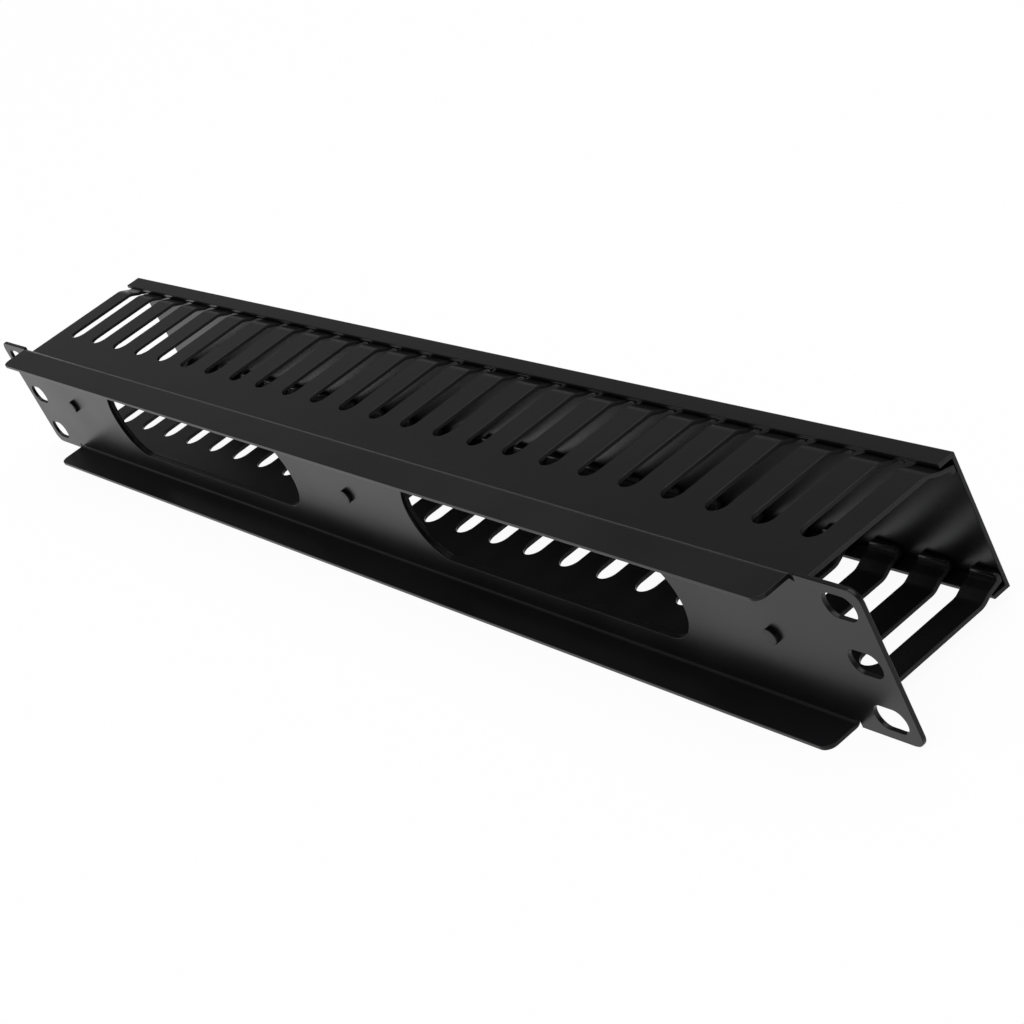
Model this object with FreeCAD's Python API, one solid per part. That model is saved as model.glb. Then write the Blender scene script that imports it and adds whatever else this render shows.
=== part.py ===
import FreeCAD, Part
import math
import os
from FreeCAD import Vector

# One-unit horizontal cable manager for a 19-inch rack: a finger duct riveted to a rear panel, with a cover.
# Millimetres. X runs along the rack's width, -Y points out of the rack's front, Z is up.
# The origin is the middle of the rack hole pattern, on the rear face of the ears, which seats on the
# rack's rails.

# Rack standard: hole columns 465.1 apart, so each lies 8.75 in from the panel's end
panel_length = 482.6
panel_height = 44.0
hole_edge_distance = 8.75
hole_row_spacing = 15.875
hole_rows = 3

# Rear panel: a flat sheet with a flange folded to the rear along its top and bottom edges
panel_sheet = 1.2
panel_bend_inner_radius = 0.8
panel_corner_radius = 3.5
ear_slot_length = 11.0
ear_slot_height = 6.8
flange_end_distance = 22.8
flange_reach = 10.0
flange_corner_radius = 3.0
flange_relief_width = 1.0

# Long openings for cables, through the panel and the web of the duct, each midway between two rivets
opening_length = 130.0
opening_height = 27.0

# Finger duct: an extruded channel whose web lies on the panel's front face, slotted into fingers
duct_wall = 1.2
duct_end_distance = 21.15
duct_edge_distance = 2.75
duct_depth = 48.7
slot_pitch = 18.0
slot_width = 7.5
slot_start = 13.1
step_run = 3.2
step_inner_radius = 4.0
tip_lean = 0.9
tip_height = 2.9
tip_inner_radius = 1.6
tip_corner_radius = 1.4

# Cover: an extruded channel whose lips lie in the step of the finger ends
cover_wall = 1.2
cover_rise = 0.15
cover_lip_reach = 5.4
cover_clearance = 0.3
lip_clearance = 0.45
lip_edge_gap = 0.5

# An extruded corner is nearly sharp, inside and outside
extruded_radius = 0.4

# Rivets that join the duct to the panel
rivet_end_distance = 20.0
rivet_shank_radius = 1.6
rivet_hole_clearance = 0.05
rivet_rear_head_radius = 2.25
rivet_rear_head_height = 1.2
rivet_front_head_radius = 2.8
rivet_front_head_height = 1.2

# Places that follow from the sizes above
hole_column_spacing = panel_length - 2 * hole_edge_distance
flange_length = panel_length - 2 * flange_end_distance
duct_length = panel_length - 2 * duct_end_distance
duct_height = panel_height - 2 * duct_edge_distance
panel_front = -panel_sheet
web_front = panel_front - duct_wall
tip_front = panel_front - duct_depth
cover_front = tip_front - cover_clearance - cover_wall
cover_lip_edge = cover_front + cover_lip_reach
duct_top = duct_height / 2
cover_top = duct_top + cover_rise
stepped_top = cover_top - cover_wall - lip_clearance
tip_top = stepped_top - tip_lean
tip_end = tip_top - tip_height
step_front = cover_lip_edge + lip_edge_gap
step_rear = step_front + step_run
end_rivet = duct_length / 2 - rivet_end_distance
rivet_centres = (-end_rivet, 0.0, end_rivet)
opening_centres = (-end_rivet / 2, end_rivet / 2)

ALONG_X = Vector(1, 0, 0)


def line_beside(points, distance):
    """The line at a distance to the left of a line of points, as seen along X. Its corners are sharp."""
    runs = [(after - before).normalize() for before, after in zip(points, points[1:])]
    moved = [points[0] + ALONG_X.cross(runs[0]) * distance]
    for corner, inward, outward in zip(points[1:], runs, runs[1:]):
        sideways = (ALONG_X.cross(inward) + ALONG_X.cross(outward)).normalize()
        moved.append(corner + sideways * (distance / math.cos(inward.getAngle(outward) / 2)))
    moved.append(points[-1] + ALONG_X.cross(runs[-1]) * distance)
    return moved


def rounded_line(points, radii):
    """Straight runs with a tangent arc at each inner point, as edges."""
    edges = []
    here = points[0]
    for before, corner, after, radius in zip(points, points[1:], points[2:], radii):
        inward = (corner - before).normalize()
        outward = (after - corner).normalize()
        half_turn = inward.getAngle(outward) / 2
        towards_centre = (outward - inward).normalize()
        start = corner - inward * (radius * math.tan(half_turn))
        middle = corner + towards_centre * (radius / math.cos(half_turn) - radius)
        end = corner + outward * (radius * math.tan(half_turn))
        edges.append(Part.LineSegment(here, start).toShape())
        edges.append(Part.Arc(start, middle, end).toShape())
        here = end
    edges.append(Part.LineSegment(here, points[-1]).toShape())
    return edges


def channel(corners, radii, wall, length):
    """A wall of even thickness that runs along X, centred on it. corners are the (y, z) points of the
    wall's mid line, and radii the (inner, outer) radius of each inner corner."""
    points = [Vector(0, y, z) for y, z in corners]
    left_radii = []
    right_radii = []
    for before, corner, after, (inner, outer) in zip(points, points[1:], points[2:], radii):
        turns_left = (corner - before).cross(after - corner).x > 0
        left_radii.append(inner if turns_left else outer)
        right_radii.append(outer if turns_left else inner)
    left = line_beside(points, wall / 2)
    right = line_beside(points, -wall / 2)
    edges = rounded_line(left, left_radii) + rounded_line(right, right_radii)
    edges.append(Part.LineSegment(left[0], right[0]).toShape())
    edges.append(Part.LineSegment(left[-1], right[-1]).toShape())
    outline = Part.Wire(Part.__sortEdges__(edges))
    solid = Part.Face(outline).extrude(ALONG_X * length)
    solid.translate(ALONG_X * (-length / 2))
    return solid


def round_ended_hole(centre_x, centre_z, length, height):
    """A cutter along Y for a hole with half-round ends, deep enough for the panel and the duct's web."""
    depth = panel_sheet + duct_wall
    start_y = web_front - depth
    radius = height / 2
    straight = length - height
    cutter = Part.makeBox(
        straight, 3 * depth, height, Vector(centre_x - straight / 2, start_y, centre_z - radius)
    )
    for end_x in (centre_x - straight / 2, centre_x + straight / 2):
        end = Part.makeCylinder(radius, 3 * depth, Vector(end_x, start_y, centre_z), Vector(0, 1, 0))
        cutter = cutter.fuse(end)
    return cutter


def cable_opening_cutters():
    return [round_ended_hole(x, 0, opening_length, opening_height) for x in opening_centres]


def rivet_hole_cutters():
    radius = rivet_shank_radius + rivet_hole_clearance
    depth = panel_sheet + duct_wall
    return [
        Part.makeCylinder(radius, 3 * depth, Vector(x, web_front - depth, 0), Vector(0, 1, 0))
        for x in rivet_centres
    ]


def slot_centres():
    """As many slots as leave each end finger at least half a pitch wide."""
    slot_count = int((duct_length - slot_width) / slot_pitch)
    first = -slot_pitch * (slot_count - 1) / 2
    return [first + slot_pitch * index for index in range(slot_count)]


def make_rear_panel():
    half_sheet = panel_sheet / 2
    bend = (panel_bend_inner_radius, panel_bend_inner_radius + panel_sheet)
    mid_y = -half_sheet
    mid_z = panel_height / 2 - half_sheet
    folded = channel(
        [(flange_reach, mid_z), (mid_y, mid_z), (mid_y, -mid_z), (flange_reach, -mid_z)],
        [bend, bend],
        panel_sheet,
        flange_length,
    )
    # The flange's free corners are rounded
    flange_corners = [
        edge
        for edge in folded.Edges
        if abs(edge.Length - panel_sheet) < 1e-6
        and abs(edge.CenterOfMass.y - flange_reach) < 1e-6
        and abs(abs(edge.CenterOfMass.x) - flange_length / 2) < 1e-6
    ]
    folded = folded.makeFillet(flange_corner_radius, flange_corners)
    # Beside each end of a flange, a narrow relief lets the sheet fold without tearing the ear
    flat_height = panel_height - 2 * (panel_sheet + panel_bend_inner_radius)
    flat = Part.makeBox(
        panel_length, panel_sheet, flat_height, Vector(-panel_length / 2, panel_front, -flat_height / 2)
    )
    ear_start = flange_length / 2 + flange_relief_width
    ear_length = panel_length / 2 - ear_start
    ears = []
    for side in (-1, 1):
        low_x = ear_start if side > 0 else -panel_length / 2
        ear = Part.makeBox(
            ear_length, panel_sheet, panel_height, Vector(low_x, panel_front, -panel_height / 2)
        )
        outer_edges = [
            edge
            for edge in ear.Edges
            if abs(edge.Length - panel_sheet) < 1e-6
            and abs(edge.CenterOfMass.x - side * panel_length / 2) < 1e-6
        ]
        ears.append(ear.makeFillet(panel_corner_radius, outer_edges))
    panel = folded.multiFuse([flat] + ears)
    cutters = cable_opening_cutters() + rivet_hole_cutters()
    lowest_row = -hole_row_spacing * (hole_rows - 1) / 2
    for side in (-1, 1):
        for row in range(hole_rows):
            hole_z = lowest_row + hole_row_spacing * row
            hole_x = side * hole_column_spacing / 2
            cutters.append(round_ended_hole(hole_x, hole_z, ear_slot_length, ear_slot_height))
    return panel.cut(cutters).removeSplitter()


def tip_corner_cutters():
    """What is cut from both free corners of each finger's tip, top and bottom, to round them."""
    radius = tip_corner_radius
    # Each corner is where a slot or the duct's end meets a tip, and its finger lies on one side of it
    corners = [(-duct_length / 2, 1), (duct_length / 2, -1)]
    for x in slot_centres():
        corners += [(x - slot_width / 2, -1), (x + slot_width / 2, 1)]
    rearward = Vector(0, 1, 0)
    depth = 2 * duct_wall
    start_y = tip_front - duct_wall / 2
    cutters = []
    for x, side in corners:
        low_x = x if side > 0 else x - radius
        for half in (-1, 1):
            low_z = tip_end if half > 0 else -tip_end - radius
            block = Part.makeBox(radius, depth, radius, Vector(low_x, start_y, low_z))
            centre = Vector(x + side * radius, start_y, half * (tip_end + radius))
            cutters.append(block.cut(Part.makeCylinder(radius, depth, centre, rearward)))
    return cutters


def make_finger_duct():
    half_wall = duct_wall / 2
    mid_top = duct_top - half_wall
    mid_tip = tip_front + half_wall
    upper = [
        (mid_tip, tip_end),
        (mid_tip, tip_top - half_wall),
        (step_front, stepped_top - half_wall),
        (step_rear, mid_top),
        (panel_front - half_wall, mid_top),
    ]
    lower = [(y, -z) for y, z in reversed(upper)]
    step_bend = (step_inner_radius, step_inner_radius + duct_wall)
    radii = [
        (tip_inner_radius, extruded_radius),
        step_bend,
        step_bend,
        (extruded_radius, extruded_radius),
    ]
    duct = channel(upper + lower, radii + radii[::-1], duct_wall, duct_length)
    # Each slot starts in a half-round end near the web and runs out through the finger tips, top and bottom
    radius = slot_width / 2
    round_y = panel_front - slot_start - radius
    slot_run = round_y - cover_front
    slots = []
    for x in slot_centres():
        slots.append(
            Part.makeBox(
                slot_width, slot_run, panel_height, Vector(x - radius, cover_front, -panel_height / 2)
            )
        )
        slots.append(Part.makeCylinder(radius, panel_height, Vector(x, round_y, -panel_height / 2)))
    cutters = slots + tip_corner_cutters() + cable_opening_cutters() + rivet_hole_cutters()
    return duct.cut(cutters).removeSplitter()


def make_cover():
    mid_front = cover_front + cover_wall / 2
    mid_top = cover_top - cover_wall / 2
    corner = (extruded_radius, extruded_radius)
    return channel(
        [
            (cover_lip_edge, mid_top),
            (mid_front, mid_top),
            (mid_front, -mid_top),
            (cover_lip_edge, -mid_top),
        ],
        [corner, corner],
        cover_wall,
        duct_length,
    )


def make_rivet(x):
    """A flat head on the panel's rear face, a shank through panel and web and a domed head in the duct."""
    rearward = Vector(0, 1, 0)
    rear_head = Part.makeCylinder(rivet_rear_head_radius, rivet_rear_head_height, Vector(x, 0, 0), rearward)
    shank = Part.makeCylinder(
        rivet_shank_radius, panel_sheet + duct_wall, Vector(x, web_front, 0), rearward
    )
    rise = rivet_front_head_height
    ball_radius = (rivet_front_head_radius**2 + rise**2) / (2 * rise)
    ball = Part.makeSphere(ball_radius, Vector(x, web_front - rise + ball_radius, 0))
    in_front = Part.makeBox(
        2 * ball_radius, rise, 2 * ball_radius, Vector(x - ball_radius, web_front - rise, -ball_radius)
    )
    front_head = ball.common(in_front)
    return rear_head.multiFuse([shank, front_head]).removeSplitter()


def make_rivets():
    return Part.makeCompound([make_rivet(x) for x in rivet_centres])


def main():
    os.makedirs("parts", exist_ok=True)
    nodes = {
        "rear_panel": make_rear_panel(),
        "finger_duct": make_finger_duct(),
        "cover": make_cover(),
        "rivets": make_rivets(),
    }
    for name, shape in nodes.items():
        shape.exportStep(os.path.join("parts", name + ".step"))
        box = shape.BoundBox
        print(
            f"{name}: solids {len(shape.Solids)}, valid {shape.isValid()}, volume {shape.Volume:.0f},"
            f" X {box.XMin:.2f} to {box.XMax:.2f}, Y {box.YMin:.2f} to {box.YMax:.2f},"
            f" Z {box.ZMin:.2f} to {box.ZMax:.2f}"
        )


main()
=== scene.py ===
import math

import bmesh
import bpy
from bpy.props import FloatProperty, FloatVectorProperty, PointerProperty
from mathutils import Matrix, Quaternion, Vector


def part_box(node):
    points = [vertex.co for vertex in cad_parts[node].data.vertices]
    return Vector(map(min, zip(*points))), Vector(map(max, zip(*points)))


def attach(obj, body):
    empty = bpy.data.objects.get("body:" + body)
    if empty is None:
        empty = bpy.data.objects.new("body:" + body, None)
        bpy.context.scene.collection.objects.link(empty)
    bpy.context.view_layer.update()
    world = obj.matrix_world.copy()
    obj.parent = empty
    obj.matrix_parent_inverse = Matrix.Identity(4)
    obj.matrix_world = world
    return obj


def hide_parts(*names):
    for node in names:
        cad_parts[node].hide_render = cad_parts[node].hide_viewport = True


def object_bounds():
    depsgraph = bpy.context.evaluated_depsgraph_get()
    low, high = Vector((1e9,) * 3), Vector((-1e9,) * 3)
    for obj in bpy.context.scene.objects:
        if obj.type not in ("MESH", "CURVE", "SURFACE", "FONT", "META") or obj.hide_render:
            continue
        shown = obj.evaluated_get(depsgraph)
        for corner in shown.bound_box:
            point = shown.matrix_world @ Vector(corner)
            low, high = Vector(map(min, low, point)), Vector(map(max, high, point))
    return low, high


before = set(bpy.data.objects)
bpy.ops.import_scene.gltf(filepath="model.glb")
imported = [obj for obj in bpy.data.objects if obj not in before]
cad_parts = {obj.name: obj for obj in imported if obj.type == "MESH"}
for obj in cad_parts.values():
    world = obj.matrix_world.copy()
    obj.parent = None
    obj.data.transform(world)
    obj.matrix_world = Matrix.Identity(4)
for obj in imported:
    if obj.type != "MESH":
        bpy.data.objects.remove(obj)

# One-unit horizontal cable manager for a 19-inch rack: a folded, powder-coated steel panel, and a slotted
# finger duct and its cover, which are extruded in black PVC.
# Metres. X runs along the rack's width, -Y points out of the rack's front, Z is up.

bl_info = {
    "name": "One-unit Cable Manager",
    "version": (1, 0, 0),
    "blender": (4, 5, 0),
    "location": "3D View > Sidebar > Cable Manager",
    "description": "Makes the panel, finger duct, cover and rivets of a rack cable manager, and its stage",
    "category": "Object",
}

MM = 0.001
CAD_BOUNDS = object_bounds()
PANEL_LOW, PANEL_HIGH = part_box("rear_panel")
DUCT_LOW, DUCT_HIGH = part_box("finger_duct")
COVER_LOW, COVER_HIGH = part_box("cover")
RIVETS_LOW, RIVETS_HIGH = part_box("rivets")

# An arc or a bend has a point at least this often
ARC_STEP = math.radians(9)
# Points closer than this are one point
MERGE_DISTANCE = 1e-7
# An edge this sharp is a real one, and a smaller angle belongs to a bend or an arc
SHARP_EDGE_ANGLE = math.radians(40)
# Nearly all of a noise's values lie between these
NOISE_LOW, NOISE_HIGH = 0.3, 0.7
# A face whose normal lies along X by more than the first share begins to look cut, and by the second
# it looks fully cut
CUT_STARTS, CUT_FULL = 0.7, 0.9
# Millimetres, as Blender has it for a camera
SENSOR_WIDTH = 36.0


def colour(hex_code):
    """An sRGB hex value as linear red, green and blue, with full alpha."""
    channels = [int(hex_code[start:start + 2], 16) / 255 for start in (1, 3, 5)]
    linear = [c / 12.92 if c <= 0.04045 else ((c + 0.055) / 1.055) ** 2.4 for c in channels]
    return (*linear, 1.0)


def length_property(name, description, millimetres):
    """A size that a user may change, in metres."""
    return FloatProperty(
        name=name, description=description, default=millimetres * MM, min=0.0, precision=5, unit="LENGTH"
    )


class PanelSettings(bpy.types.PropertyGroup):
    bend_inner_radius: length_property("Bend Radius", "Inner radius of the two folds", 0.8)
    edge_rounding: length_property("Edge Rounding", "Radius that the coat leaves on every cut edge", 0.18)
    corner_radius: length_property("Corner Radius", "Radius of the panel's four corners", 3.5)
    slot_length: length_property("Slot Length", "Length of a rack slot", 11.0)
    slot_height: length_property("Slot Height", "Height of a rack slot", 6.8)
    hole_edge_distance: length_property("Slot Inset", "Panel's end to the rack slots' middle", 8.75)
    hole_row_spacing: length_property("Slot Spacing", "From one rack slot up to the next", 15.875)
    flange_end_distance: length_property("Flange Inset", "Panel's end to the flange's end", 22.8)
    flange_corner_radius: length_property("Flange Corner Radius", "Radius of a flange's free corners", 3.0)
    relief_width: length_property("Relief Width", "Width of the notch beside a flange's end", 1.0)
    opening_length: length_property("Opening Length", "Length of a cable opening", 130.0)
    opening_height: length_property("Opening Height", "Height of a cable opening", 27.0)


class DuctSettings(bpy.types.PropertyGroup):
    wall: length_property("Wall", "Thickness of the finger duct's wall", 1.2)
    edge_rounding: length_property("Edge Rounding", "Radius of the extruded and of the punched edges", 0.2)
    slot_pitch: length_property("Slot Pitch", "From one finger slot to the next", 18.0)
    slot_width: length_property("Slot Width", "Width of a finger slot", 7.5)
    slot_start: length_property("Slot Start", "Panel's front face to the slots' round ends", 13.1)
    step_run: length_property("Step Run", "Depth over which a finger steps inward", 3.2)
    step_inner_radius: length_property("Step Radius", "Inner radius of the step's two bends", 4.0)
    tip_lean: length_property("Tip Lean", "How far a finger leans inward from the step to its tip", 0.9)
    tip_height: length_property("Tip Height", "Height of a finger's turned-in tip", 2.9)
    tip_inner_radius: length_property("Tip Inner Radius", "Radius inside a finger's turned-in tip", 1.6)
    tip_corner_radius: length_property("Tip Corner Radius", "Radius of a finger tip's corners", 1.4)


class CoverSettings(bpy.types.PropertyGroup):
    wall: length_property("Wall", "Thickness of the cover's wall", 1.2)
    edge_rounding: length_property("Edge Rounding", "Radius of the extruded and of the cut edges", 0.25)
    lip_clearance: length_property("Lip Clearance", "Gap between the cover's lips and the fingers", 0.45)
    lip_edge_gap: length_property("Lip Gap", "Gap between the lip's edge and the step", 0.5)


class RivetSettings(bpy.types.PropertyGroup):
    shank_radius: length_property("Shank Radius", "Radius of a rivet's shank", 1.6)
    rear_head_radius: length_property("Rear Head Radius", "Radius of the flat head on the panel", 2.25)
    front_head_radius: length_property("Front Head Radius", "Radius of the domed head in the duct", 2.8)
    rim_radius: length_property("Rim Radius", "Rounding of the flat head's rim", 0.3)


def colour_property(name, description, hex_code):
    """A colour that a user may change."""
    return FloatVectorProperty(
        name=name, description=description, subtype="COLOR", size=4, min=0.0, max=1.0,
        default=colour(hex_code),
    )


def share_property(name, description, default):
    """A number from 0 to 1 that a user may change."""
    return FloatProperty(
        name=name, description=description, subtype="FACTOR", min=0.0, max=1.0, default=default
    )


class FinishSettings(bpy.types.PropertyGroup):
    coat_dark: colour_property("Coat, Dark", "Darkest colour of the powder coat", "#101011")
    coat_light: colour_property("Coat, Light", "Lightest colour of the powder coat", "#151517")
    pvc_dark: colour_property("PVC, Dark", "Darkest colour of the PVC", "#0f0f10")
    pvc_light: colour_property("PVC, Light", "Lightest colour of the PVC", "#141415")
    pvc_cut: colour_property("PVC, Cut", "Colour of the PVC's sawn and punched faces", "#2a2a2b")
    cut_roughness: share_property("Cut Roughness", "Roughness of the sawn and punched faces", 0.6)
    coat_roughness: share_property("Coat Roughness", "Roughness of the semi-gloss powder coat", 0.30)
    pvc_roughness: share_property("PVC Roughness", "Roughness of the satin PVC", 0.28)
    roughness_spread: share_property("Roughness Spread", "How far the roughness goes up and down", 0.03)
    mirror_level: share_property("Mirror Level", "How strongly the black finishes mirror", 0.2)
    cloud_size: length_property("Clouds", "Distance from one cloud of gloss to the next", 35.0)
    peel_size: length_property("Orange Peel", "Distance from one wave of the coat to the next", 1.6)
    peel_height: length_property("Orange Peel Height", "Height of the coat's waves", 0.004)
    grain_size: length_property("Grain", "Distance from one grain of a finish to the next", 0.45)
    grain_height: length_property("Grain Height", "Height of a finish's grain", 0.0012)
    streak_size: length_property("Die Streaks", "Distance from one streak of the PVC to the next", 0.8)
    streak_height: length_property("Die Streak Height", "Height of the PVC's streaks", 0.0015)


class StageSettings(bpy.types.PropertyGroup):
    floor_colour: colour_property("Floor", "Colour of the floor", "#f2f2f2")
    floor_white: share_property("Floor White", "Share of plain white in the floor's look", 0.95)
    floor_size: FloatProperty(
        name="Floor Size", description="Length of the floor's side", default=24.0, min=1.0, unit="LENGTH"
    )
    overhead_power: FloatProperty(
        name="Overhead Lamp", description="Power of the soft lamp overhead", default=125.0, min=0.0,
        unit="POWER",
    )
    camera_place: FloatVectorProperty(
        name="Camera", description="Where the camera stands", subtype="TRANSLATION",
        default=(-0.6488, 0.24228, 0.30136),
    )
    camera_target: FloatVectorProperty(
        name="Target", description="Point in the middle of the picture", subtype="TRANSLATION",
        default=(-0.07276, -0.01222, 0.0),
    )
    camera_roll: FloatProperty(
        name="Roll", description="How far the camera is turned about its view", subtype="ANGLE",
        default=math.radians(-27.364),
    )
    camera_lens: FloatProperty(
        name="Lens", description="Focal length in millimetres, on a 36 mm sensor", default=90.27, min=1.0
    )


def rotated(vector, angle):
    """A flat vector turned left by an angle."""
    cosine, sine = math.cos(angle), math.sin(angle)
    return Vector((cosine * vector.x - sine * vector.y, sine * vector.x + cosine * vector.y))


def left_turn(inward, outward):
    """The angle from one flat direction to the next, positive to the left."""
    return math.atan2(inward.x * outward.y - inward.y * outward.x, inward.dot(outward))


def round_corner(before, corner, after, radius, steps=None):
    """The points of the arc that rounds a corner, from where it starts to where it ends. Where no number
    of steps is given, it follows from the turn."""
    if not radius:
        return [corner]
    inward = (corner - before).normalized()
    outward = (after - corner).normalized()
    turn = left_turn(inward, outward)
    start = corner - inward * (radius * math.tan(abs(turn) / 2))
    centre = start + rotated(inward, math.copysign(math.pi / 2, turn)) * radius
    steps = steps or math.ceil(abs(turn) / ARC_STEP)
    return [centre + rotated(start - centre, turn * step / steps) for step in range(steps + 1)]


def rounded_loop(corners):
    """The points of a closed outline. Each corner is (x, distance along the section, radius)."""
    points = []
    places = [Vector((x, along)) for x, along, radius in corners]
    for index, (x, along, radius) in enumerate(corners):
        after = places[(index + 1) % len(places)]
        points += round_corner(places[index - 1], places[index], after, radius)
    return points


def round_ended(centre_x, centre_along, length, height):
    """The outline of a hole with half-round ends. A hole as long as it is high is a circle."""
    left, right = centre_x - length / 2, centre_x + length / 2
    low, high = centre_along - height / 2, centre_along + height / 2
    radius = height / 2
    corners = [(left, low, radius), (right, low, radius), (right, high, radius), (left, high, radius)]
    return rounded_loop(corners)


def both_edges(corners):
    """An outline that is the same at both long edges of a wall, from the corners of one of them."""
    return corners + [(-x, -along, radius) for x, along, radius in corners]


class Section:
    """A wall seen along X, from the piece's middle to one long edge.

    corners are the (y, z) points of its middle line. radii are the bend radius on its left and on its
    right at each inner corner, where 0 is sharp. Distances go along the middle line.
    """

    def __init__(self, corners, radii, wall):
        middle = [Vector(corner) for corner in corners]
        headings = [(there - here).normalized() for here, there in zip(middle, middle[1:])]
        half_wall = wall / 2
        self.distances = [0.0]
        self.sides = [self.straight_across(middle[0], headings[0], half_wall)]
        travelled = 0.0
        for before, corner, inward, outward, pair in zip(
            middle, middle[1:], headings, headings[1:], radii
        ):
            travelled += (corner - before).length
            turn = left_turn(inward, outward)
            slope = math.tan(abs(turn) / 2)
            # The corner of the side that the wall turns to comes sooner, and that of the other side later
            later = math.copysign(half_wall * slope, turn)
            shifts = (-later, later)
            reach = max(
                [wall * slope] + [radius * slope - shift for radius, shift in zip(pair, shifts)]
            )
            steps = 2 * math.ceil(abs(turn) / ARC_STEP / 2)
            lines = []
            for place, shift, radius in zip(
                self.straight_across(corner, inward, half_wall), shifts, pair
            ):
                sharp = place + inward * shift
                lines.append(self.side_of_corner(sharp, inward, outward, radius, reach + shift, steps))
            self.sides += zip(*lines)
            self.distances += [travelled + reach * (2 * step / steps - 1) for step in range(steps + 1)]
        self.distances.append(travelled + (middle[-1] - middle[-2]).length)
        self.sides.append(self.straight_across(middle[-1], headings[-1], half_wall))

    @staticmethod
    def straight_across(point, heading, half_wall):
        """The points on the left and on the right of a point of the middle line."""
        across = rotated(heading, math.pi / 2) * half_wall
        return point + across, point - across

    @staticmethod
    def side_of_corner(corner, inward, outward, radius, run, steps):
        """The points of one side, from a run before its corner to a run after it."""
        if radius:
            return round_corner(corner - inward, corner, corner + outward, radius, steps)
        shares = [2 * step / steps - 1 for step in range(steps + 1)]
        return [corner + (inward if share < 0 else outward) * (run * share) for share in shares]

    @property
    def length(self):
        return self.distances[-1]

    def where(self, along, side):
        """The (y, z) point of a side at a distance. A negative distance is on the lower half."""
        reached = min(abs(along), self.length)
        for start, end, here, there in zip(
            self.distances, self.distances[1:], self.sides, self.sides[1:]
        ):
            if reached <= end:
                break
        point = here[side].lerp(there[side], (reached - start) / (end - start))
        return Vector((point.x, math.copysign(point.y, along)))


def flat_wall(outline, holes, section):
    """The wall laid out flat, with an edge across it wherever its section turns."""
    wall = bmesh.new()
    for loop in [outline] + holes:
        corners = [wall.verts.new((x, along, 0)) for x, along in loop]
        for corner, after in zip(corners, corners[1:] + corners[:1]):
            wall.edges.new((corner, after))
    bmesh.ops.remove_doubles(wall, verts=wall.verts, dist=MERGE_DISTANCE)
    bmesh.ops.triangle_fill(wall, use_beauty=True, use_dissolve=True, edges=wall.edges)
    for distance in section.distances[1:-1]:
        for along in (distance, -distance):
            everything = wall.verts[:] + wall.edges[:] + wall.faces[:]
            bmesh.ops.bisect_plane(
                wall, geom=everything, dist=MERGE_DISTANCE, plane_co=(0, along, 0), plane_no=(0, 1, 0)
            )
    return wall


def bend(wall, section, flat_beyond=math.inf):
    """Bends the flat wall to both sides of its section. What lies beyond a distance from the middle of
    the piece stays flat."""
    extruded = bmesh.ops.extrude_face_region(wall, geom=wall.faces[:], use_keep_orig=True)["geom"]
    right = {part for part in extruded if isinstance(part, bmesh.types.BMVert)}
    for corner in wall.verts:
        side = 1 if corner in right else 0
        x, along = corner.co.x, corner.co.y
        if abs(x) > flat_beyond:
            corner.co = (x, section.sides[0][side].x, along)
        else:
            y, z = section.where(along, side)
            corner.co = (x, y, z)
    bmesh.ops.remove_doubles(wall, verts=wall.verts, dist=MERGE_DISTANCE)


def walled_piece(name, wall, edge_rounding):
    """An object from a bent wall, with its softened edges."""
    bmesh.ops.recalc_face_normals(wall, faces=wall.faces)
    mesh = bpy.data.meshes.new(name)
    wall.to_mesh(mesh)
    wall.free()
    mesh.shade_smooth()
    piece = bpy.data.objects.new(name, mesh)
    bpy.context.scene.collection.objects.link(piece)
    soft = piece.modifiers.new("Softened edges", "BEVEL")
    soft.width = edge_rounding
    soft.segments = 2
    soft.limit_method = "ANGLE"
    soft.angle_limit = SHARP_EDGE_ANGLE
    soft.use_clamp_overlap = False
    shading = piece.modifiers.new("Flat faces stay flat", "WEIGHTED_NORMAL")
    shading.mode = "FACE_AREA"
    return piece


def finish_piece(piece, material, node, body):
    """Gives a piece its material, and lets it stand for its CAD node on that node's body."""
    piece.data.materials.append(material)
    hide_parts(node)
    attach(piece, body)


def rivet_places(settings):
    """The distance of each rivet from the middle, along X."""
    end = RIVETS_HIGH.x - settings.front_head_radius
    return (-end, 0.0, end)


def web_holes(scene):
    """The holes that the panel and the duct's web share: two cable openings and the rivet holes."""
    panel, rivets = scene.cable_panel, scene.cable_rivets
    places = rivet_places(rivets)
    holes = [
        round_ended((left + right) / 2, 0, panel.opening_length, panel.opening_height)
        for left, right in zip(places, places[1:])
    ]
    width = 2 * rivets.shank_radius
    return holes + [round_ended(x, 0, width, width) for x in places]


def add_node(tree, kind, inputs=None, **settings):
    """Adds a node. inputs maps a socket's name or number to a value, or to the output that feeds it."""
    node = tree.nodes.new(kind)
    for name, value in settings.items():
        setattr(node, name, value)
    for name, value in (inputs or {}).items():
        if isinstance(value, bpy.types.NodeSocket):
            tree.links.new(value, node.inputs[name])
        else:
            node.inputs[name].default_value = value
    return node


def spots(tree, place, size, detail=1.0, stretch=None):
    """A noise whose spots are as far apart as the size, and longer along X by the stretch."""
    if stretch:
        place = add_node(
            tree, "ShaderNodeMapping", {"Vector": place, "Scale": (1 / stretch, 1, 1)}
        ).outputs["Vector"]
    noise = add_node(tree, "ShaderNodeTexNoise", {"Vector": place, "Scale": 1 / size, "Detail": detail})
    return noise.outputs["Fac"]


def spread(tree, value, low, high):
    """A noise value as a number from low to high."""
    inputs = {
        "Value": value, "From Min": NOISE_LOW, "From Max": NOISE_HIGH, "To Min": low, "To Max": high
    }
    return add_node(tree, "ShaderNodeMapRange", inputs).outputs["Result"]


def between(tree, value, first, second):
    """A colour between two, as a value goes from a noise's low end to its high one."""
    return ramp_of(tree, value, (NOISE_LOW, first), (NOISE_HIGH, second))


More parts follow.
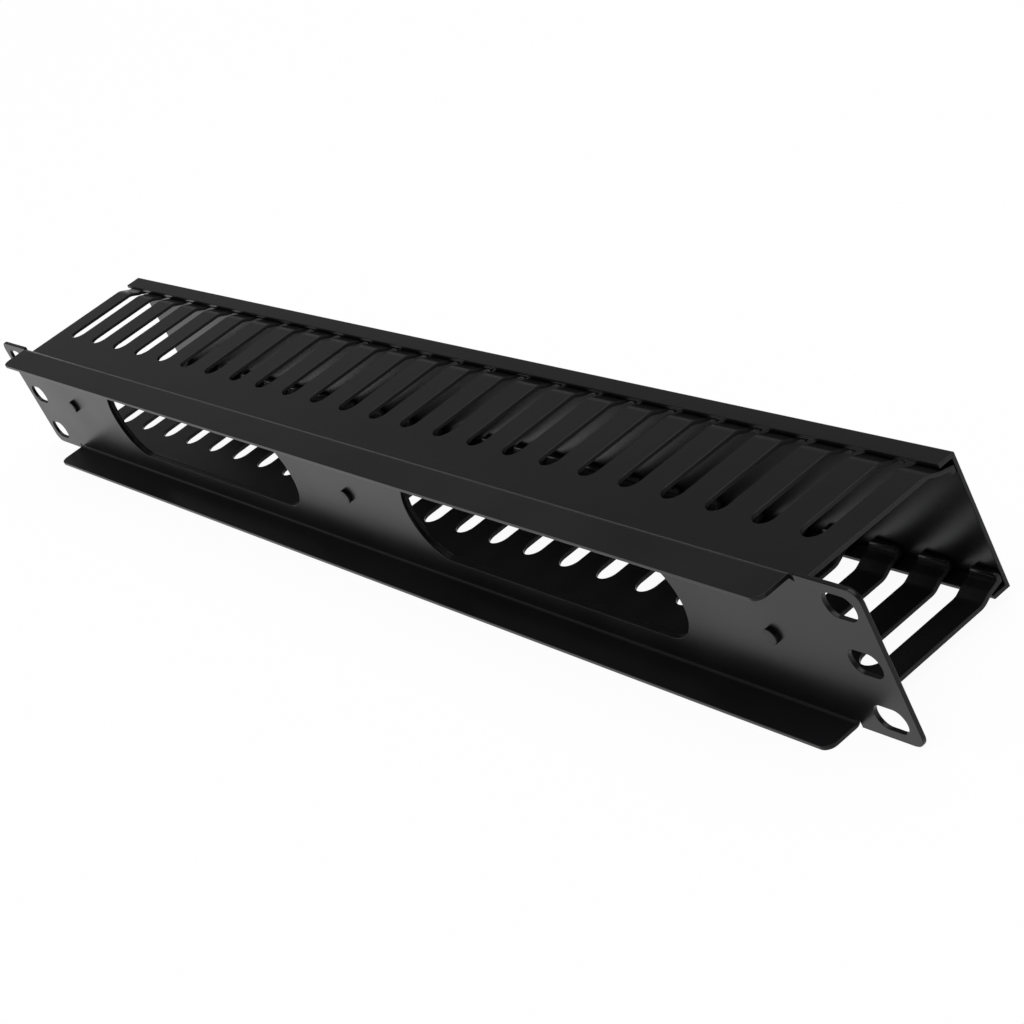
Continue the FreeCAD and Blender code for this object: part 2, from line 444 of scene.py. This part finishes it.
def ramp_of(tree, value, *stops):
    """A colour that follows a value. stops are the two (value, colour) pairs that it runs between."""
    ramp = add_node(tree, "ShaderNodeValToRGB", {"Fac": value})
    for element, (position, shade) in zip(ramp.color_ramp.elements, stops):
        element.position, element.color = position, shade
    return ramp.outputs["Color"]


def new_material(name):
    """An empty material, its node tree and the place on the piece that its patterns follow."""
    material = bpy.data.materials.new(name)
    material.use_nodes = True
    tree = material.node_tree
    tree.nodes.clear()
    return material, tree, add_node(tree, "ShaderNodeTexCoord").outputs["Object"]


def bumps(tree, height, distance, normal=None):
    inputs = {"Height": height, "Distance": distance}
    if normal:
        inputs["Normal"] = normal
    return add_node(tree, "ShaderNodeBump", inputs).outputs["Normal"]


def surface(tree, **inputs):
    """The shader of a material, with the surface's values, and the material's output."""
    named = {name.replace("_", " ").title(): value for name, value in inputs.items()}
    shader = add_node(tree, "ShaderNodeBsdfPrincipled", named)
    shader.inputs["Specular IOR Level"].default_value = bpy.context.scene.cable_finish.mirror_level
    add_node(tree, "ShaderNodeOutputMaterial", {"Surface": shader.outputs["BSDF"]})


def powder_coat():
    """Black polyester powder coat on sheet steel, sprayed dry and baked to a semi-gloss.

    It flows out to a faint orange peel with a fine grain, so it mirrors its surroundings softly, and
    it is lightest where it is seen at a shallow angle.
    """
    finish = bpy.context.scene.cable_finish
    material, tree, place = new_material("Black powder coat")
    cloudy = spots(tree, place, finish.cloud_size)
    peel = bumps(tree, spots(tree, place, finish.peel_size), finish.peel_height)
    grain = bumps(tree, spots(tree, place, finish.grain_size, 2.0), finish.grain_height, peel)
    rough = finish.coat_roughness
    surface(
        tree,
        base_color=between(tree, cloudy, tuple(finish.coat_dark), tuple(finish.coat_light)),
        roughness=spread(tree, cloudy, rough - finish.roughness_spread, rough + finish.roughness_spread),
        normal=grain,
    )
    return material


def extruded_pvc():
    """Rigid black PVC, extruded through a polished die and punched.

    The die leaves faint streaks along the piece and a satin skin, a little uneven in gloss.
    """
    name = "Extruded black PVC"
    if name in bpy.data.materials:
        return bpy.data.materials[name]
    finish = bpy.context.scene.cable_finish
    material, tree, place = new_material(name)
    cloudy = spots(tree, place, finish.cloud_size, stretch=4)
    streaks = bumps(tree, spots(tree, place, finish.streak_size, 2.0, stretch=60), finish.streak_height)
    grain = bumps(tree, spots(tree, place, finish.grain_size, 2.0), finish.grain_height, streaks)
    rough = finish.pvc_roughness
    skin = between(tree, cloudy, tuple(finish.pvc_dark), tuple(finish.pvc_light))
    gloss = spread(tree, cloudy, rough - finish.roughness_spread, rough + finish.roughness_spread)
    # A sawn or punched face across the piece is matt and paler than the skin that the die leaves
    facing = add_node(tree, "ShaderNodeNewGeometry").outputs["True Normal"]
    along_x = add_node(tree, "ShaderNodeSeparateXYZ", {"Vector": facing}).outputs["X"]
    across = add_node(tree, "ShaderNodeMath", {0: along_x}, operation="ABSOLUTE").outputs["Value"]
    cut = add_node(
        tree, "ShaderNodeMapRange", {"Value": across, "From Min": CUT_STARTS, "From Max": CUT_FULL}
    ).outputs["Result"]
    # A mix node has its two colours in sockets 6 and 7, and the mixed one in its output 2
    look = add_node(
        tree, "ShaderNodeMix", {"Factor": cut, 6: skin, 7: tuple(finish.pvc_cut)}, data_type="RGBA"
    ).outputs[2]
    inputs = {"Value": cut, "To Min": gloss, "To Max": finish.cut_roughness}
    surface(
        tree,
        base_color=look,
        roughness=add_node(tree, "ShaderNodeMapRange", inputs).outputs["Result"],
        normal=grain,
    )
    return material


def rivet_enamel():
    """Black stove enamel on aluminium blind rivets, a thin smooth film that the setting tool has dulled."""
    finish = bpy.context.scene.cable_finish
    material, tree, place = new_material("Black rivet enamel")
    dulled = spots(tree, place, finish.grain_size * 2, 2.0)
    surface(
        tree,
        base_color=between(tree, dulled, tuple(finish.coat_dark), tuple(finish.coat_light)),
        roughness=spread(tree, dulled, finish.coat_roughness, finish.coat_roughness + 0.1),
        normal=bumps(tree, dulled, finish.grain_height * 2),
    )
    return material


class CABLE_OT_rear_panel(bpy.types.Operator):
    """Cuts and folds the rear panel, with its rack slots, cable openings and two flanges"""

    bl_idname = "cable.rear_panel"
    bl_label = "Rear Panel"

    def execute(self, context):
        panel = context.scene.cable_panel
        sheet = -PANEL_LOW.y
        half_length, half_height = PANEL_HIGH.x, PANEL_HIGH.z
        middle_y, middle_z = -sheet / 2, half_height - sheet / 2
        section = Section(
            [(middle_y, 0), (middle_y, middle_z), (PANEL_HIGH.y, middle_z)],
            [(panel.bend_inner_radius + sheet, panel.bend_inner_radius)],
            sheet,
        )
        flat_half = half_height - sheet - panel.bend_inner_radius
        flange_half = half_length - panel.flange_end_distance
        ear_start = flange_half + panel.relief_width
        edge = [
            (-half_length, half_height, panel.corner_radius),
            (-ear_start, half_height, 0),
            (-ear_start, flat_half, 0),
            (-flange_half, flat_half, 0),
            (-flange_half, section.length, panel.flange_corner_radius),
        ]
        edge += [(-x, along, radius) for x, along, radius in reversed(edge)]
        slot_x = half_length - panel.hole_edge_distance
        rows = (-panel.hole_row_spacing, 0, panel.hole_row_spacing)
        slots = [
            round_ended(x, along, panel.slot_length, panel.slot_height)
            for x in (-slot_x, slot_x)
            for along in rows
        ]
        wall = flat_wall(rounded_loop(both_edges(edge)), slots + web_holes(context.scene), section)
        bend(wall, section, flat_beyond=flange_half + panel.relief_width / 2)
        piece = walled_piece("folded_rear_panel", wall, panel.edge_rounding)
        finish_piece(piece, powder_coat(), "rear_panel", "duct")
        return {"FINISHED"}


class CABLE_OT_finger_duct(bpy.types.Operator):
    """Shapes the finger duct, with its open slots, stepped fingers and turned-in tips"""

    bl_idname = "cable.finger_duct"
    bl_label = "Finger Duct"

    def execute(self, context):
        duct, cover = context.scene.cable_duct, context.scene.cable_cover
        half_wall = duct.wall / 2
        half_length = DUCT_HIGH.x
        middle_web, middle_tip = DUCT_HIGH.y - half_wall, DUCT_LOW.y + half_wall
        middle_top = DUCT_HIGH.z - half_wall
        stepped_top = COVER_HIGH.z - cover.wall - cover.lip_clearance
        tip_top = stepped_top - duct.tip_lean
        step_front = COVER_HIGH.y + cover.lip_edge_gap
        step_inner, step_outer = duct.step_inner_radius, duct.step_inner_radius + duct.wall
        section = Section(
            [
                (middle_web, 0),
                (middle_web, middle_top),
                (step_front + duct.step_run, middle_top),
                (step_front, stepped_top - half_wall),
                (middle_tip, tip_top - half_wall),
                (middle_tip, tip_top - duct.tip_height),
            ],
            [(0, 0), (step_inner, step_outer), (step_outer, step_inner), (duct.tip_inner_radius, 0)],
            duct.wall,
        )
        slot_end = middle_top + duct.slot_start - half_wall
        half_slot = duct.slot_width / 2
        slot_count = int((2 * half_length - duct.slot_width) / duct.slot_pitch)
        edge = [(-half_length, section.length, duct.tip_corner_radius)]
        for index in range(slot_count):
            x = (index - (slot_count - 1) / 2) * duct.slot_pitch
            edge += [
                (x - half_slot, section.length, duct.tip_corner_radius),
                (x - half_slot, slot_end, half_slot),
                (x + half_slot, slot_end, half_slot),
                (x + half_slot, section.length, duct.tip_corner_radius),
            ]
        edge.append((half_length, section.length, duct.tip_corner_radius))
        wall = flat_wall(rounded_loop(both_edges(edge)), web_holes(context.scene), section)
        bend(wall, section)
        piece = walled_piece("slotted_finger_duct", wall, duct.edge_rounding)
        finish_piece(piece, extruded_pvc(), "finger_duct", "duct")
        return {"FINISHED"}


class CABLE_OT_cover(bpy.types.Operator):
    """Shapes the cover, a shallow channel with a lip along its top and bottom"""

    bl_idname = "cable.cover"
    bl_label = "Cover"

    def execute(self, context):
        cover = context.scene.cable_cover
        half_length = COVER_HIGH.x
        middle_y, middle_z = COVER_LOW.y + cover.wall / 2, COVER_HIGH.z - cover.wall / 2
        section = Section(
            [(middle_y, 0), (middle_y, middle_z), (COVER_HIGH.y, middle_z)], [(0, 0)], cover.wall
        )
        edge = [(-half_length, section.length, 0), (half_length, section.length, 0)]
        wall = flat_wall(rounded_loop(both_edges(edge)), [], section)
        bend(wall, section)
        piece = walled_piece("pull_off_cover", wall, cover.edge_rounding)
        finish_piece(piece, extruded_pvc(), "cover", "cover")
        return {"FINISHED"}


class CABLE_OT_rivets(bpy.types.Operator):
    """Turns the three rivets, with a flat head on the panel and a domed head inside the duct"""

    bl_idname = "cable.rivets"
    bl_label = "Rivets"

    def execute(self, context):
        rivets, duct = context.scene.cable_rivets, context.scene.cable_duct
        rear, front = RIVETS_HIGH.y, RIVETS_LOW.y
        web_front = PANEL_LOW.y - duct.wall
        rise = web_front - front
        ball_radius = (rivets.front_head_radius ** 2 + rise ** 2) / (2 * rise)
        half_dome = math.asin(rivets.front_head_radius / ball_radius)
        # The half section, as (distance from the axis, y), from the flat head's middle to the dome's
        section = [Vector((0, rear))]
        section += round_corner(
            Vector((0, rear)),
            Vector((rivets.rear_head_radius, rear)),
            Vector((rivets.rear_head_radius, 0)),
            rivets.rim_radius,
        )
        section += [
            Vector((rivets.rear_head_radius, 0)),
            Vector((rivets.shank_radius, 0)),
            Vector((rivets.shank_radius, web_front)),
        ]
        dome_steps, round_steps = 8, 48
        for step in range(dome_steps + 1):
            angle = half_dome * (1 - step / dome_steps)
            section.append(
                Vector((ball_radius * math.sin(angle), front + ball_radius * (1 - math.cos(angle))))
            )
        rivet = bmesh.new()
        corners = [rivet.verts.new((out, y, 0)) for out, y in section]
        for corner, after in zip(corners, corners[1:]):
            rivet.edges.new((corner, after))
        bmesh.ops.spin(
            rivet,
            geom=rivet.verts[:] + rivet.edges[:],
            cent=(0, 0, 0),
            axis=(0, 1, 0),
            angle=math.tau,
            steps=round_steps,
            use_merge=True,
        )
        bmesh.ops.remove_doubles(rivet, verts=rivet.verts, dist=MERGE_DISTANCE)
        bmesh.ops.recalc_face_normals(rivet, faces=rivet.faces)
        first = rivet.verts[:] + rivet.edges[:] + rivet.faces[:]
        left, _, right = rivet_places(rivets)
        for x in (left, right):
            copy = bmesh.ops.duplicate(rivet, geom=first)["geom"]
            moved = [part for part in copy if isinstance(part, bmesh.types.BMVert)]
            bmesh.ops.translate(rivet, verts=moved, vec=(x, 0, 0))
        mesh = bpy.data.meshes.new("blind_rivets")
        rivet.to_mesh(mesh)
        rivet.free()
        mesh.shade_smooth()
        mesh.set_sharp_from_angle(angle=SHARP_EDGE_ANGLE)
        piece = bpy.data.objects.new("blind_rivets", mesh)
        context.scene.collection.objects.link(piece)
        finish_piece(piece, rivet_enamel(), "rivets", "duct")
        return {"FINISHED"}


class CABLE_OT_stage(bpy.types.Operator):
    """Sets the pale floor, the soft studio light and the camera"""

    bl_idname = "cable.stage"
    bl_label = "Stage"

    def execute(self, context):
        stage = context.scene.cable_stage
        make_floor(stage)
        make_lamps(stage)
        make_surroundings()
        make_camera(stage)
        context.scene.view_settings.view_transform = "Standard"
        return {"FINISHED"}


def make_floor(stage):
    """A matt, nearly white sheet under the object, large enough to fill the picture."""
    floor = bmesh.new()
    bmesh.ops.create_grid(floor, x_segments=1, y_segments=1, size=stage.floor_size / 2)
    bmesh.ops.translate(floor, verts=floor.verts, vec=(0, 0, CAD_BOUNDS[0].z))
    mesh = bpy.data.meshes.new("floor")
    floor.to_mesh(mesh)
    floor.free()
    material, tree, place = new_material("Matt white floor")
    paper = add_node(tree, "ShaderNodeBsdfDiffuse", {"Color": tuple(stage.floor_colour)})
    # Seen straight, in a mirror image or through glass, the floor is mostly plain white
    rays = add_node(tree, "ShaderNodeLightPath").outputs
    seen = rays["Is Camera Ray"]
    for other in ("Is Glossy Ray", "Is Transmission Ray"):
        seen = add_node(tree, "ShaderNodeMath", {0: seen, 1: rays[other]}, operation="ADD", use_clamp=True)
        seen = seen.outputs["Value"]
    share = add_node(tree, "ShaderNodeMath", {0: seen, 1: stage.floor_white}, operation="MULTIPLY")
    white = add_node(tree, "ShaderNodeEmission", {"Color": (1, 1, 1, 1), "Strength": 1.0})
    look = add_node(
        tree,
        "ShaderNodeMixShader",
        {0: share.outputs["Value"], 1: paper.outputs["BSDF"], 2: white.outputs["Emission"]},
    )
    add_node(tree, "ShaderNodeOutputMaterial", {"Surface": look.outputs["Shader"]})
    mesh.materials.append(material)
    piece = bpy.data.objects.new("floor", mesh)
    bpy.context.scene.collection.objects.link(piece)


def make_lamps(stage):
    """One large soft lamp overhead."""
    lamp = bpy.data.lights.new("overhead_lamp", "AREA")
    lamp.shape = "RECTANGLE"
    side, height = 4.0, 3.0
    lamp.size, lamp.size_y = side, side
    lamp.energy = stage.overhead_power
    piece = bpy.data.objects.new("overhead_lamp", lamp)
    piece.location = (0, 0, height)
    bpy.context.scene.collection.objects.link(piece)


def make_surroundings():
    """Studio walls that are pale at the floor and darker higher up."""
    world = bpy.data.worlds.new("Studio")
    world.use_nodes = True
    tree = world.node_tree
    tree.nodes.clear()
    direction = add_node(tree, "ShaderNodeTexCoord").outputs["Generated"]
    height = add_node(tree, "ShaderNodeSeparateXYZ", {"Vector": direction}).outputs["Z"]
    pale, dark = (0.6, 0.6, 0.6, 1), (0.18, 0.18, 0.18, 1)
    pale_up_to, dark_from = 0.04, 0.16
    walls = ramp_of(tree, height, (pale_up_to, pale), (dark_from, dark))
    light = add_node(tree, "ShaderNodeBackground", {"Color": walls, "Strength": 1.0})
    add_node(tree, "ShaderNodeOutputWorld", {"Surface": light.outputs["Background"]})
    bpy.context.scene.world = world


def make_camera(stage):
    """The camera stands behind the left ear, above the object, and is turned about its view."""
    camera = bpy.data.cameras.new("camera")
    camera.sensor_width = SENSOR_WIDTH
    camera.lens = stage.camera_lens
    piece = bpy.data.objects.new("camera", camera)
    place, target = Vector(stage.camera_place), Vector(stage.camera_target)
    aim = (target - place).to_track_quat("-Z", "Y")
    roll = Quaternion((0, 0, 1), stage.camera_roll)
    piece.rotation_mode = "QUATERNION"
    piece.location = place
    piece.rotation_quaternion = aim @ roll
    bpy.context.scene.collection.objects.link(piece)
    bpy.context.scene.camera = piece


class CABLE_PT_sidebar(bpy.types.Panel):
    """Lists the pieces of the cable manager and the stage"""

    bl_idname = "CABLE_PT_sidebar"
    bl_label = "Cable Manager"
    bl_space_type = "VIEW_3D"
    bl_region_type = "UI"
    bl_category = "Cable Manager"

    def draw(self, context):
        for group in SETTINGS:
            settings = getattr(context.scene, group)
            box = self.layout.box()
            for name in settings.__annotations__:
                box.prop(settings, name)
        for operator in OPERATORS:
            self.layout.operator(operator.bl_idname)


SETTINGS = {
    "cable_panel": PanelSettings,
    "cable_duct": DuctSettings,
    "cable_cover": CoverSettings,
    "cable_rivets": RivetSettings,
    "cable_finish": FinishSettings,
    "cable_stage": StageSettings,
}
OPERATORS = (
    CABLE_OT_rear_panel,
    CABLE_OT_finger_duct,
    CABLE_OT_cover,
    CABLE_OT_rivets,
    CABLE_OT_stage,
)


def register():
    for name, group in SETTINGS.items():
        bpy.utils.register_class(group)
        setattr(bpy.types.Scene, name, PointerProperty(type=group))
    for operator in OPERATORS:
        bpy.utils.register_class(operator)
    bpy.utils.register_class(CABLE_PT_sidebar)


def unregister():
    bpy.utils.unregister_class(CABLE_PT_sidebar)
    for operator in reversed(OPERATORS):
        bpy.utils.unregister_class(operator)
    for name, group in reversed(SETTINGS.items()):
        delattr(bpy.types.Scene, name)
        bpy.utils.unregister_class(group)


def main():
    register()
    bpy.ops.cable.rear_panel()
    bpy.ops.cable.finger_duct()
    bpy.ops.cable.cover()
    bpy.ops.cable.rivets()
    bpy.ops.cable.stage()


if __name__ == "__main__":
    main()
